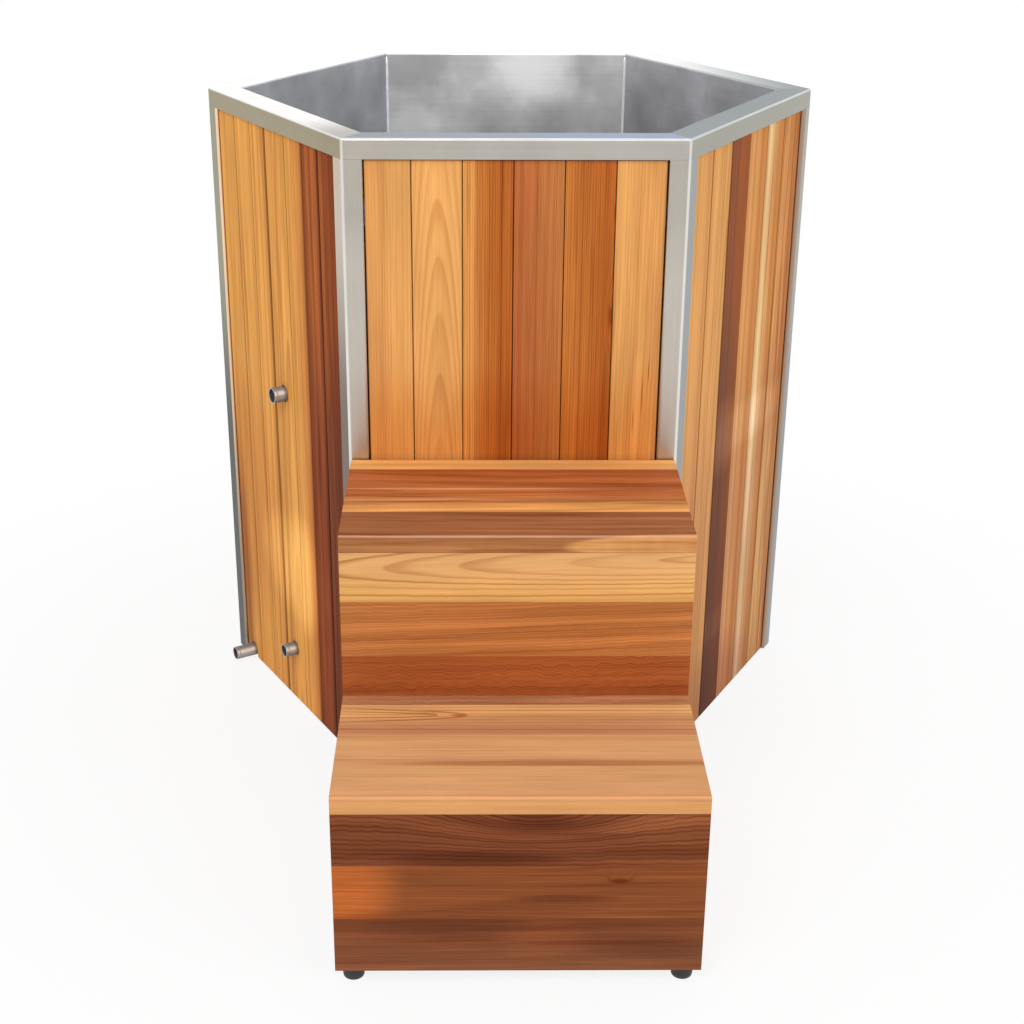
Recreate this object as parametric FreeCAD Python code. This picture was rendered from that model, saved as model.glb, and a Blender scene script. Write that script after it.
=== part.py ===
import FreeCAD, Part
import math
import os

# Hexagonal stainless cold plunge tub with vertical cedar cladding, three pipe stubs and a cedar step unit.
# Millimetres, +Z up. The origin is on the floor under the middle of the tub, and the front faces -Y.

# Tank and rim: six sides folded from stainless sheet, welded at mitred corners
across_flats = 944.0
tub_height = 1127.0
rim_width = 52.0
rim_depth = 33.0
rim_corner_radius = 6.0
rim_lower_edge = 0.3
sheet = 2.5
bend_radius = 1.5
floor_sheet = 3.0

# Corner posts: folded stainless, one at each corner of the hexagon
post_leg = 32.7
post_return = 40.0
post_sheet = 2.5

# Base frame of rectangular tube, standing on the floor
base_height = 40.0
base_width = 30.0
base_wall = 2.5
bearer_spacing = 180.0

# Cladding: tongue and groove cedar boards standing between the posts
board_recess = 4.8
board_thickness = 17.5
board_edge_gap = 2.0
board_joint = 1.2
board_easing = 1.0
board_floor_gap = 2.0
board_top_gap = 2.0
tongue_length = 6.0
tongue_thickness = 5.5
tongue_clearance = 0.3
board_widths = (72.7, 79.55, 79.55, 79.55, 79.55, 78.7)
pipe_side_widths = (68.3, 65.1, 65.1, 77.3, 67.1, 63.2, 62.3)

# Rails behind the boards, between the posts
rail_height = 40.0
rail_thickness = 5.0
rail_to_stub = 40.0
top_rail_drop = 90.0

# Insulation
foam_clearance = 1.0
foam_edge_gap = 2.0
floor_foam_thickness = 26.0

# Pipe stubs, all on the front left side
stub_wall = 1.65
stub_dressing = 0.2
stub_root_stand = 0.7
stub_hole_clearance = 1.3
return_diameter = 28.6
return_height = 625.0
suction_diameter = 25.4
suction_height = 112.0
stub_reach = 24.3
drain_diameter = 25.4
drain_height = 16.0
drain_offset = 206.5
drain_reach = 42.4
weld_gap = 0.2

# Drain sump under the tank floor, with its strainer
sump_radius = 30.0
sump_wall = 2.0
sump_from_side = 80.0
sump_floor_gap = 0.8
strainer_lip = 8.0
strainer_thickness = 1.5
strainer_spigot = 8.0
strainer_fit = 0.5
strainer_hole = 3.0
strainer_ring = 16.0
strainer_holes = 8

# Screws
screw_radius = 2.1
screw_head_radius = 4.0
screw_head_height = 2.5
screw_tip = 4.0
screw_bite = 12.0
pilot_clearance = 0.1
through_clearance = 0.3
counterbore_depth = 12.0
counterbore_clearance = 1.0

# Step unit of cedar, free-standing in front of the tub
step_gap = 4.5
step_width = 540.0
step_board_thickness = 17.5
lower_step_height = 320.4
upper_step_height = 593.4
tread_thickness = 28.0
upper_tread_depth = 310.0
lower_tread_depth = 291.0
tread_gap = 0.3
nose_radius = 3.0
step_easing = 1.5
frame_bar = 38.0
back_rail_height = 73.0
strip_screw_spacing = 180.0

# Step boards, glued edge to edge: each row or tread ends with one more board that fills what is left
lower_row_heights = (93.0, 90.5)
upper_row_heights = (97.5, 93.5)
lower_board_widths = (84.5, 87.0, 90.0)
upper_board_widths = (92.0, 97.0, 79.0)

# Rubber feet under the step unit
foot_height = 22.0
foot_top_radius = 18.0
foot_bottom_radius = 15.5
foot_rounding = 3.0
foot_side_inset = 26.0
foot_end_inset = 21.0
foot_recess_radius = 7.5
foot_recess_depth = 12.0
washer_radius = 6.5
washer_thickness = 1.5
foot_screw_bite = 25.0

# Sizes that follow from those above
TAN30 = math.tan(math.radians(30))
COS30 = math.cos(math.radians(30))
UP = FreeCAD.Vector(0, 0, 1)
ORIGIN = FreeCAD.Vector(0, 0, 0)
rim_face = across_flats / 2
tank_face = rim_face - rim_width
tank_back = tank_face + sheet
rim_bottom = tub_height - rim_depth
post_face = rim_face
post_bend_radius = rim_corner_radius - post_sheet
post_edge = post_face * TAN30 - post_leg
board_face = post_face - board_recess
board_back = board_face - board_thickness
rail_back = board_back - rail_thickness
foam_back = rail_back - screw_head_height - foam_clearance
base_back = board_back - base_width
floor_top = base_height + floor_sheet
board_bottom = board_floor_gap
board_top = rim_bottom - board_top_gap
return_radius = return_diameter / 2
suction_radius = suction_diameter / 2
drain_radius = drain_diameter / 2
rail_levels = {
    "low": suction_height + suction_radius + rail_to_stub + rail_height / 2,
    "middle": return_height - return_radius - rail_to_stub - rail_height / 2,
    "top": rim_bottom - top_rail_drop,
}
pilot_radius = screw_radius + pilot_clearance
through_radius = screw_radius + through_clearance
counterbore_radius = screw_head_radius + counterbore_clearance
step_back = -(post_face + step_gap)
upper_front = step_back - upper_tread_depth
lower_front = upper_front - lower_tread_depth
lower_seat = lower_step_height - tread_thickness
upper_seat = upper_step_height - tread_thickness
half_step = step_width / 2
frame_outer = half_step - step_board_thickness
frame_inner = frame_outer - frame_bar
frame_middle = frame_outer - frame_bar / 2
front_post = lower_front + step_board_thickness
mid_post = upper_front + step_board_thickness
rear_post = step_back - frame_bar

# The front side is drawn first, and each other side is a turn of it about the middle of the tub
sides = {"front": 0, "front_right": 60, "back_right": 120, "back": 180, "back_left": 240, "front_left": 300}
corners = {"front_right": 30, "right": 90, "back_right": 150, "back_left": 210, "left": 270}
corners["front_left"] = 330
pipe_side = "front_left"


def box(x, y, z):
    """Block between the two ends given on each axis."""
    corner = FreeCAD.Vector(min(x), min(y), min(z))
    return Part.makeBox(max(x) - min(x), max(y) - min(y), max(z) - min(z), corner)


def rod(radius, start, direction, length):
    return Part.makeCylinder(radius, length, FreeCAD.Vector(*start), FreeCAD.Vector(*direction))


def outline(points):
    """Closed wire through (x, y, radius) corners, each rounded by its own radius."""
    edges = []
    spots = []
    for number, (x, y, radius) in enumerate(points):
        here = FreeCAD.Vector(x, y, 0)
        before = FreeCAD.Vector(*points[number - 1][:2], 0) - here
        after = FreeCAD.Vector(*points[(number + 1) % len(points)][:2], 0) - here
        half = before.getAngle(after) / 2
        before.normalize()
        after.normalize()
        if radius == 0:
            spots.append((here, here))
            continue
        middle = before + after
        middle.normalize()
        start = here + before * (radius / math.tan(half))
        end = here + after * (radius / math.tan(half))
        crown = here + middle * (radius / math.sin(half) - radius)
        edges.append(Part.Arc(start, crown, end).toShape())
        spots.append((start, end))
    for number, (start, end) in enumerate(spots):
        edges.append(Part.makeLine(spots[number - 1][1], start))
    return Part.Wire(Part.__sortEdges__(edges))


def extrusion(points, axis, start, stop):
    """Prism along an axis: its outline is in (x, y) for z, and in (y, z) for x."""
    solid = Part.Face(outline(points)).extrude(UP * (stop - start))
    solid.translate(UP * start)
    if axis == "x":
        solid.rotate(ORIGIN, FreeCAD.Vector(1, 1, 1), 120)
    return solid


def turned(shape, angle):
    copy = shape.copy()
    copy.rotate(ORIGIN, UP, angle)
    return copy


def lathe(points, base, direction):
    """Solid of revolution of (radius, height) points, stood on a base point along a direction."""
    wire = Part.makePolygon([FreeCAD.Vector(radius, 0, height) for radius, height in points + points[:1]])
    solid = Part.Face(wire).revolve(ORIGIN, UP, 360)
    turn = FreeCAD.Rotation(UP, FreeCAD.Vector(*direction))
    solid.Placement = FreeCAD.Placement(FreeCAD.Vector(*base), turn)
    return solid


def screw(seat, direction, length, head_radius=screw_head_radius, head_height=screw_head_height):
    """Pan head screw; its head rests on the seat point and its shank runs the given length past it."""
    points = [
        (0, -head_height),
        (head_radius, -head_height),
        (head_radius, 0),
        (screw_radius, 0),
        (screw_radius, length - screw_tip),
        (0, length),
    ]
    return lathe(points, seat, direction)


def export(node, solids):
    Part.makeCompound(solids).exportStep(f"parts/{node}.step")


def sector(height):
    """Sixth of the hexagon that belongs to the front side, for mitring."""
    reach = rim_face * 2
    points = [(0, 0, 0), (-reach * TAN30, -reach, 0), (reach * TAN30, -reach, 0)]
    return extrusion(points, "z", 0, height)


def hexagon(face, low, high, rounding=0):
    """Hexagonal plate with the given distance from its middle to each side, and its corners rounded."""
    radius = face / COS30
    angles = [math.radians(60 * number) for number in range(6)]
    points = [(radius * math.cos(angle), radius * math.sin(angle), rounding) for angle in angles]
    return extrusion(points, "z", low, high)


# Where each stub stands on the pipe side: (offset along the side, height, outer radius, free length)
stubs = {
    "return_stub": (0, return_height, return_radius, stub_reach),
    "suction_stub": (0, suction_height, suction_radius, stub_reach),
    "drain_stub": (-drain_offset, drain_height, drain_radius, drain_reach),
}
wall_stubs = ["return_stub", "suction_stub"]
sump_place = (-drain_offset, -(tank_face - sump_from_side))


def stub_way(name, clearance):
    """Straight bore round a stub, from the sump's line out past the rim."""
    offset, height, radius, reach = stubs[name]
    inner = tank_face - sump_from_side
    length = rim_face + reach - inner
    return rod(radius + stub_dressing + clearance, (offset, -inner, height), (0, -1, 0), length)


def tank_side(side):
    """Tank wall with the rim folded out, down and back under at its top, its outer corners ground round."""
    outer = sheet + bend_radius
    points = [
        (-tank_face, base_height, 0),
        (-tank_face, tub_height, outer),
        (-rim_face, tub_height, outer),
        (-rim_face, rim_bottom, rim_lower_edge),
        (-board_back, rim_bottom, 0),
        (-board_back, rim_bottom + sheet, 0),
        (sheet - rim_face, rim_bottom + sheet, 0),
        (sheet - rim_face, tub_height - sheet, bend_radius),
        (-tank_back, tub_height - sheet, bend_radius),
        (-tank_back, base_height, 0),
    ]
    wall = extrusion(points, "x", -rim_face, rim_face).common(sector(tub_height))
    wall = wall.common(hexagon(rim_face, 0, tub_height, rim_corner_radius))
    if side == pipe_side:
        for name in wall_stubs:
            offset, height, radius, reach = stubs[name]
            wall = wall.cut(rod(radius - stub_wall, (offset, -tank_face, height), (0, -1, 0), sheet))
    return wall


def corner_post():
    """Folded post at a corner that points along -Y: two legs on the faces and a return behind each."""
    tip = FreeCAD.Vector(0, -post_face / COS30, 0)
    along = FreeCAD.Vector(COS30, 0.5, 0)
    inward = FreeCAD.Vector(-0.5, COS30, 0)
    outer = post_sheet + post_bend_radius
    edge = post_sheet + bend_radius
    leg_end = tip + along * post_leg
    return_end = leg_end + inward * post_return
    inner_leg = leg_end - along * post_sheet + inward * post_sheet
    inner_return = return_end - along * post_sheet
    inner_tip = tip + FreeCAD.Vector(0, post_sheet / COS30, 0)
    half = [(return_end, 0), (leg_end, edge), (tip, outer)]
    inner_half = [(inner_tip, post_bend_radius), (inner_leg, bend_radius), (inner_return, 0)]
    points = [(point.x, point.y, radius) for point, radius in half]
    points += [(-point.x, point.y, radius) for point, radius in half[1::-1]]
    points += [(-point.x, point.y, radius) for point, radius in inner_half[:0:-1]]
    points += [(point.x, point.y, radius) for point, radius in inner_half]
    return extrusion(points, "z", 0, rim_bottom)


def base_tube(axis, middle, ends):
    """Rectangular tube lying on the floor along x or y, open at its ends."""
    half = base_width / 2
    if axis == "x":
        outer = box(ends, (middle - half, middle + half), (0, base_height))
        across = (middle - half + base_wall, middle + half - base_wall)
        return outer.cut(box(ends, across, (base_wall, base_height - base_wall)))
    outer = box((middle - half, middle + half), ends, (0, base_height))
    across = (middle - half + base_wall, middle + half - base_wall)
    return outer.cut(box(across, ends, (base_wall, base_height - base_wall)))


def base_sill(side):
    sill = base_tube("x", -(board_back + base_back) / 2, (-post_edge, post_edge))
    if side == pipe_side:
        sill = sill.cut(stub_way("drain_stub", stub_hole_clearance))
    return sill


def board_spans(side):
    """Left and right face edge of each cladding board on a side, all stretched alike to fill it."""
    width = 2 * (post_edge - board_edge_gap)
    faces = pipe_side_widths if side == pipe_side else board_widths
    stretch = (width - (len(faces) - 1) * board_joint) / sum(faces)
    spans = []
    left = -width / 2
    for face in faces:
        spans.append((left, left + face * stretch))
        left += face * stretch + board_joint
    return spans


def cladding(side):
    """Tongue and groove boards of one side, drilled from behind for their screws."""
    spans = board_spans(side)
    middle = -(board_face + board_back) / 2
    tongue = tongue_thickness / 2
    groove = tongue + tongue_clearance
    boards = []
    for number, (left, right) in enumerate(spans):
        points = [(left, -board_face, board_easing), (right, -board_face, board_easing)]
        if number < len(spans) - 1:
            tip = right + tongue_length
            points += [(right, middle - tongue, 0), (tip, middle - tongue, 0)]
            points += [(tip, middle + tongue, 0), (right, middle + tongue, 0)]
        points += [(right, -board_back, 0), (left, -board_back, 0)]
        if number > 0:
            depth = left + tongue_length - board_joint + tongue_clearance
            points += [(left, middle + groove, 0), (depth, middle + groove, 0)]
            points += [(depth, middle - groove, 0), (left, middle - groove, 0)]
        board = extrusion(points, "z", board_bottom, board_top)
        for level in rail_levels.values():
            start = ((left + right) / 2, -board_back, level)
            board = board.cut(rod(pilot_radius, start, (0, -1, 0), screw_bite + pilot_clearance))
        if side == pipe_side:
            for name in stubs:
                board = board.cut(stub_way(name, stub_hole_clearance))
            notch = drain_radius + stub_dressing + stub_hole_clearance
            across = (-drain_offset - notch, -drain_offset + notch)
            board = board.cut(box(across, (-board_face, -board_back), (0, drain_height)))
        boards.append(board)
    return boards


def cladding_rail(side, level):
    """Flat bar welded between two posts, drilled for the boards' screws."""
    across = (-rail_back, -board_back)
    rail = box((-post_edge, post_edge), across, (level - rail_height / 2, level + rail_height / 2))
    for left, right in board_spans(side):
        start = ((left + right) / 2, -rail_back, level)
        rail = rail.cut(rod(through_radius, start, (0, -1, 0), rail_thickness))
    return rail


def cladding_screws(side):
    screws = []
    for left, right in board_spans(side):
        for level in rail_levels.values():
            seat = ((left + right) / 2, -rail_back, level)
            screws.append(screw(seat, (0, -1, 0), rail_thickness + screw_bite))
    return screws


def wall_foam(side):
    half = post_edge - foam_edge_gap
    panel = box((-half, half), (-foam_back, -tank_back), (base_height, rim_bottom))
    if side == pipe_side:
        for name in wall_stubs:
            panel = panel.cut(stub_way(name, foam_clearance))
    return panel


def stub(name):
    """Pipe stub: full size at its root, dressed a little smaller past the posts' faces for a coupling."""
    offset, height, radius, reach = stubs[name]
    inner = tank_back
    if name == "drain_stub":
        inner = tank_face - sump_from_side + sump_radius
    root = post_face + stub_root_stand - inner
    end = board_face + reach - inner
    bore = radius - stub_wall
    points = [
        (bore, 0),
        (radius + stub_dressing, 0),
        (radius + stub_dressing, root),
        (radius, root),
        (radius, end),
        (bore, end),
    ]
    return lathe(points, (offset, -inner, height), (0, -1, 0))


def drain_sump():
    """Round cup welded under the tank floor, with a hole in its side for the drain stub."""
    x, y = sump_place
    outer = sump_radius + sump_wall
    cup = rod(outer, (x, y, sump_floor_gap), (0, 0, 1), base_height - sump_floor_gap)
    hollow = rod(sump_radius, (x, y, sump_floor_gap + sump_wall), (0, 0, 1), base_height)
    return cup.cut(hollow).cut(stub_way("drain_stub", weld_gap))


def tank_floor():
    x, y = sump_place
    hole = turned(rod(sump_radius, (x, y, 0), (0, 0, 1), floor_top), sides[pipe_side])
    return hexagon(tank_face, base_height, floor_top).cut(hole)


def drain_strainer():
    """Perforated cover that lies on the tank floor, with a spigot down into the sump."""
    x, y = sump_place
    spigot = sump_radius - strainer_fit
    top = floor_top + strainer_thickness
    cover = rod(sump_radius + strainer_lip, (x, y, floor_top), (0, 0, 1), strainer_thickness)
    ring = rod(spigot, (x, y, floor_top - strainer_spigot), (0, 0, 1), strainer_spigot)
    bore = rod(spigot - sump_wall, (x, y, floor_top - strainer_spigot), (0, 0, 1), strainer_spigot)
    cover = cover.fuse(ring.cut(bore))
    for number in range(strainer_holes):
        angle = 2 * math.pi * number / strainer_holes
        spot = (x + strainer_ring * math.cos(angle), y + strainer_ring * math.sin(angle), floor_top)
        cover = cover.cut(rod(strainer_hole, spot, (0, 0, 1), top))
    return cover.cut(rod(strainer_hole, (x, y, floor_top), (0, 0, 1), top)).removeSplitter()


def floor_bearers():
    places = (-bearer_spacing, 0, bearer_spacing)
    return [base_tube("y", place, (-base_back, base_back)) for place in places]


def floor_foam():
    """Foam under the tank floor, in the bays between the bearers and clear of the drain."""
    slab = hexagon(base_back - foam_edge_gap, base_height - floor_foam_thickness, base_height)
    half = base_width / 2 + foam_clearance
    for place in (-bearer_spacing, 0, bearer_spacing):
        slab = slab.cut(box((place - half, place + half), (-rim_face, rim_face), (0, base_height)))
    x, y = sump_place
    cup = rod(sump_radius + sump_wall + foam_clearance, (x, y, 0), (0, 0, 1), base_height)
    slab = slab.cut(turned(cup, sides[pipe_side]))
    slab = slab.cut(turned(stub_way("drain_stub", foam_clearance), sides[pipe_side]))
    return slab.Solids


def glued_spans(start, widths, stop):
    """Boards of the given widths edge to edge from the start, then one that fills what is left."""
    edges = [start]
    for width in widths:
        edges.append(edges[-1] + width)
    edges.append(stop)
    return list(zip(edges[:-1], edges[1:]))


def tread(spans, seat, screw_spots):
    """Tread boards across the step unit, nose first, with pilot holes above the screws that hold them."""
    boards = []
    top = seat + tread_thickness
    for number, (low, high) in enumerate(spans):
        nose = nose_radius if number == 0 else 0
        easing = step_easing if number == 0 else 0
        points = [(low, seat, easing), (high, seat, 0), (high, top, 0), (low, top, nose)]
        board = extrusion(points, "x", -half_step, half_step)
        for x, y in screw_spots:
            board = board.cut(rod(pilot_radius, (x, y, seat), (0, 0, 1), screw_bite + pilot_clearance))
        boards.append(board)
    return boards


# Board rows of the risers and sides, as (low, high); the tread boards as (front, back)
lower_rows = glued_spans(foot_height, lower_row_heights, lower_seat)
upper_rows = glued_spans(lower_seat, upper_row_heights, upper_seat)
all_rows = lower_rows + upper_rows
lower_spans = glued_spans(lower_front, lower_board_widths, upper_front - tread_gap)
upper_spans = glued_spans(upper_front, upper_board_widths, step_back)


def below_middle(row):
    """Height of a screw a third of the way up its board."""
    return row[0] + (row[1] - row[0]) / 3


def above_middle(row):
    """Height of a screw a third of the way down its board."""
    return row[1] - (row[1] - row[0]) / 3


def riser(front, rows):
    """Riser boards with pilot holes from behind."""
    boards = []
    for row in rows:
        board = box((-half_step, half_step), (front, front + step_board_thickness), row)
        for x in (-frame_middle, frame_middle):
            start = (x, front + step_board_thickness, below_middle(row))
            board = board.cut(rod(pilot_radius, start, (0, -1, 0), screw_bite + pilot_clearance))
        boards.append(board)
    return boards


# Side board screws: the post's front face, the rows it holds and the height of the screw in a row
side_fixings = [
    (front_post, lower_rows, above_middle),
    (mid_post, all_rows, above_middle),
    (rear_post, all_rows, below_middle),
]


def side_boards(hand):
    """Boards of one side of the step unit; hand is -1 for the left and 1 for the right."""
    boards = []
    for row in all_rows:
        front = front_post if row in lower_rows else mid_post
        board = box((hand * frame_outer, hand * half_step), (front, step_back), row)
        for post, rows, level in side_fixings:
            if row in rows:
                start = (hand * frame_outer, post + frame_bar / 2, level(row))
                board = board.cut(rod(pilot_radius, start, (hand, 0, 0), screw_bite + pilot_clearance))
        boards.append(board)
    return boards


def fixing_hole(seat, direction, depth):
    """Clearance hole through a frame bar, with a counterbore where the screw's head goes in."""
    start = FreeCAD.Vector(*seat) - FreeCAD.Vector(*direction) * counterbore_depth
    hole = rod(through_radius, seat, direction, depth)
    return hole.fuse(rod(counterbore_radius, start, direction, counterbore_depth))


def bar_seat():
    """How far past the head a fixing screw runs before it leaves the frame bar."""
    return frame_bar - counterbore_depth


def riser_seats(post, rows):
    depth = post + bar_seat()
    return [(x, depth, below_middle(row)) for x in (-frame_middle, frame_middle) for row in rows]


def side_seats(hand):
    seats = []
    for post, rows, level in side_fixings:
        seats += [(hand * (frame_outer - bar_seat()), post + frame_bar / 2, level(row)) for row in rows]
    return seats


def frame_posts(front, top, foot_spots):
    """Pair of upright bars, drilled for the riser and side boards and for the feet below them."""
    bars = []
    for hand in (-1, 1):
        bar = box((hand * frame_inner, hand * frame_outer), (front, front + frame_bar), (foot_height, top))
        if front == front_post:
            for seat in riser_seats(front_post, lower_rows):
                bar = bar.cut(fixing_hole(seat, (0, -1, 0), bar_seat()))
        if front == mid_post:
            for seat in riser_seats(mid_post, upper_rows):
                bar = bar.cut(fixing_hole(seat, (0, -1, 0), bar_seat()))
        for seat in side_seats(hand):
            if front < seat[1] < front + frame_bar:
                bar = bar.cut(fixing_hole(seat, (hand, 0, 0), bar_seat()))
        for x, y in foot_spots:
            depth = foot_screw_bite + pilot_clearance
            bar = bar.cut(rod(pilot_radius, (x, y, foot_height), (0, 0, 1), depth))
        bars.append(bar)
    return bars


def bearer_spots(spans, start, stop):
    """Tread screws over the side bearers: in the middle of what each board shares with the bearer."""
    spots = []
    for low, high in spans:
        shared = (max(low, start), min(high, stop))
        if shared[1] - shared[0] > 2 * counterbore_radius:
            spots += [(x, sum(shared) / 2) for x in (-frame_middle, frame_middle)]
    return spots


def tread_bearers(start, stop, seat, spots):
    """Bars along both sides that carry a tread."""
    bars = []
    for hand in (-1, 1):
        bar = box((hand * frame_inner, hand * frame_outer), (start, stop), (seat - frame_bar, seat))
        for x, y in spots:
            bar = bar.cut(fixing_hole((x, y, seat - bar_seat()), (0, 0, 1), bar_seat()))
        bars.append(bar)
    return bars


def back_rails(spots):
    """Two bars across the back of the step unit; the upper one holds the ripped tread strip."""
    rails = []
    for low in (back_rail_height + foot_height, upper_seat - frame_bar):
        rails.append(box((-frame_inner, frame_inner), (rear_post, step_back), (low, low + frame_bar)))
    for x, y in spots:
        rails[1] = rails[1].cut(fixing_hole((x, y, upper_seat - bar_seat()), (0, 0, 1), bar_seat()))
    return rails


def foot(x, y):
    """Tapered rubber foot with a recess for its washer and screw."""
    body = Part.makeCone(foot_bottom_radius, foot_top_radius, foot_height, FreeCAD.Vector(x, y, 0))
    rim = [edge for edge in body.Edges if abs(edge.BoundBox.ZMax) < 1e-6]
    body = body.makeFillet(foot_rounding, rim)
    body = body.cut(rod(foot_recess_radius, (x, y, 0), (0, 0, 1), foot_recess_depth))
    return body.cut(rod(through_radius, (x, y, 0), (0, 0, 1), foot_height))


def foot_washer(x, y):
    low = foot_recess_depth - washer_thickness
    disc = rod(washer_radius, (x, y, low), (0, 0, 1), washer_thickness)
    return disc.cut(rod(through_radius, (x, y, low), (0, 0, 1), washer_thickness))


def foot_screw(x, y):
    seat = foot_recess_depth - washer_thickness
    return screw((x, y, seat), (0, 0, 1), foot_height - seat + foot_screw_bite)


def build_tub():
    screws = []
    foam = []
    rails = {level: [] for level in rail_levels}
    for side, angle in sides.items():
        export(f"tank_side_{side}", [turned(tank_side(side), angle)])
        export(f"base_sill_{side}", [turned(base_sill(side), angle)])
        export(f"cladding_{side}", [turned(board, angle) for board in cladding(side)])
        foam.append(turned(wall_foam(side), angle))
        screws += [turned(piece, angle) for piece in cladding_screws(side)]
        for level, height in rail_levels.items():
            rails[level].append(turned(cladding_rail(side, height), angle))
    for level, bars in rails.items():
        export(f"cladding_rails_{level}", bars)
    for corner, angle in corners.items():
        export(f"corner_post_{corner}", [turned(corner_post(), angle)])
    for name in stubs:
        export(name, [turned(stub(name), sides[pipe_side])])
    export("wall_insulation", foam)
    export("cladding_screws", screws)
    export("tank_floor", [tank_floor()])
    export("floor_bearers", floor_bearers())
    export("floor_insulation", floor_foam())
    export("drain_sump", [turned(drain_sump(), sides[pipe_side])])
    export("drain_strainer", [turned(drain_strainer(), sides[pipe_side])])


def build_steps():
    lower_spots = bearer_spots(lower_spans, front_post + frame_bar, mid_post)
    upper_spots = bearer_spots(upper_spans, mid_post + frame_bar, rear_post)
    strip_spots = [(x, rear_post + frame_bar / 2) for x in (-strip_screw_spacing, strip_screw_spacing)]
    foot_side = half_step - foot_side_inset
    feet = {
        "front_left": (-foot_side, lower_front + foot_end_inset),
        "front_right": (foot_side, lower_front + foot_end_inset),
        "rear_left": (-foot_side, step_back - foot_end_inset),
        "rear_right": (foot_side, step_back - foot_end_inset),
    }
    export("upper_tread_boards", tread(upper_spans, upper_seat, upper_spots + strip_spots))
    export("lower_tread_boards", tread(lower_spans, lower_seat, lower_spots))
    export("upper_riser_boards", riser(upper_front, upper_rows))
    export("lower_riser_boards", riser(lower_front, lower_rows))
    export("step_side_boards_left", side_boards(-1))
    export("step_side_boards_right", side_boards(1))
    export("step_front_posts", frame_posts(front_post, lower_seat, feet.values()))
    export("step_mid_posts", frame_posts(mid_post, upper_seat, []))
    export("step_rear_posts", frame_posts(rear_post, upper_seat, feet.values()))
    export("lower_tread_bearers", tread_bearers(front_post + frame_bar, mid_post, lower_seat, lower_spots))
    export("upper_tread_bearers", tread_bearers(mid_post + frame_bar, rear_post, upper_seat, upper_spots))
    export("step_back_rails", back_rails(strip_spots))
    fixing_length = bar_seat() + screw_bite
    tread_screws = [screw((x, y, lower_seat - bar_seat()), (0, 0, 1), fixing_length) for x, y in lower_spots]
    tread_screws += [
        screw((x, y, upper_seat - bar_seat()), (0, 0, 1), fixing_length) for x, y in upper_spots + strip_spots
    ]
    board_screws = []
    for seat in riser_seats(front_post, lower_rows) + riser_seats(mid_post, upper_rows):
        board_screws.append(screw(seat, (0, -1, 0), fixing_length))
    for hand in (-1, 1):
        board_screws += [screw(seat, (hand, 0, 0), fixing_length) for seat in side_seats(hand)]
    export("tread_screws", tread_screws)
    export("step_board_screws", board_screws)
    for name, (x, y) in feet.items():
        export(f"rubber_foot_{name}", [foot(x, y)])
    export("foot_washers", [foot_washer(x, y) for x, y in feet.values()])
    export("foot_screws", [foot_screw(x, y) for x, y in feet.values()])


os.makedirs("parts", exist_ok=True)
build_tub()
build_steps()
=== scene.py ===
import math
from collections import namedtuple

import bmesh
import bpy
from mathutils import Matrix, Vector


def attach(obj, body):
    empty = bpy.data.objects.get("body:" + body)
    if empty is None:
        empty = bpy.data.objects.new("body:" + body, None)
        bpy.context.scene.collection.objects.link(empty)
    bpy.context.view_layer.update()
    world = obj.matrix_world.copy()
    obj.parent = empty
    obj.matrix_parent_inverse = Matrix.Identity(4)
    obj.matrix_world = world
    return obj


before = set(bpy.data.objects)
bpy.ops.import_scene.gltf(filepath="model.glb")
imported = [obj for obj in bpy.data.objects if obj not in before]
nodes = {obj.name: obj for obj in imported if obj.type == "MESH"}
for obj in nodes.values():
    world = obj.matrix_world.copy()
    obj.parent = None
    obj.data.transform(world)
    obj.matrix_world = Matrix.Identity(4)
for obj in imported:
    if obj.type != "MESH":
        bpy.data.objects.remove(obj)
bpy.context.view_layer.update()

# Sizes repeated from the part's source, in metres
RIM_FACE = 0.472
RIM_CORNER = RIM_FACE * math.tan(math.radians(30))
TANK_FACE = 0.420
TUB_HEIGHT = 1.127
FLOOR_TOP = 0.043
BOARD_FACE = 0.4672
BOARD_HALF = 0.23781
BOARD_JOINT = 0.0012
LOWER_ROWS = (0.022, 0.115, 0.2055, 0.2924)
UPPER_ROWS = (0.2924, 0.3899, 0.4834, 0.5654)
LOWER_TREAD = (-1.0775, -0.993, -0.906, -0.816, -0.7868)
UPPER_TREAD = (-0.7865, -0.6945, -0.5975, -0.5185, -0.4765)
LOWER_TOP = 0.3204
UPPER_TOP = 0.5934
# Board widths in mm, from left to right as seen from outside
BOARD_WIDTHS = (72.7, 79.55, 79.55, 79.55, 79.55, 78.7)
PIPE_SIDE_WIDTHS = (68.3, 65.1, 65.1, 77.3, 67.1, 63.2, 62.3)

# Directions, and how many degrees each side of the tub is turned from the front side
RIGHT = (1, 0, 0)
REARWARD = (0, 1, 0)
UP = (0, 0, 1)
SIDES = {
    "front": 0,
    "front_right": 60,
    "back_right": 120,
    "back": 180,
    "back_left": 240,
    "front_left": 300,
}


def across_of(side):
    """Level direction along a side, to the right as seen from outside."""
    angle = math.radians(SIDES[side])
    return (math.cos(angle), math.sin(angle), 0)


def outward_of(side):
    x, y = across_of(side)[:2]
    return (y, -x, 0)


def solid(rgb):
    return (*rgb, 1.0)


def new_piece(name, data):
    piece = bpy.data.objects.new(name, data)
    bpy.context.scene.collection.objects.link(piece)
    return piece


def mesh_piece(name, mesh):
    data = bpy.data.meshes.new(name)
    mesh.to_mesh(data)
    mesh.free()
    return new_piece(name, data)


def give(material, piece):
    piece.data.materials.clear()
    piece.data.materials.append(material)


def dress(material, *names):
    """Gives a material to pieces of the part by their names."""
    for name in names:
        give(material, nodes[name])


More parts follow.
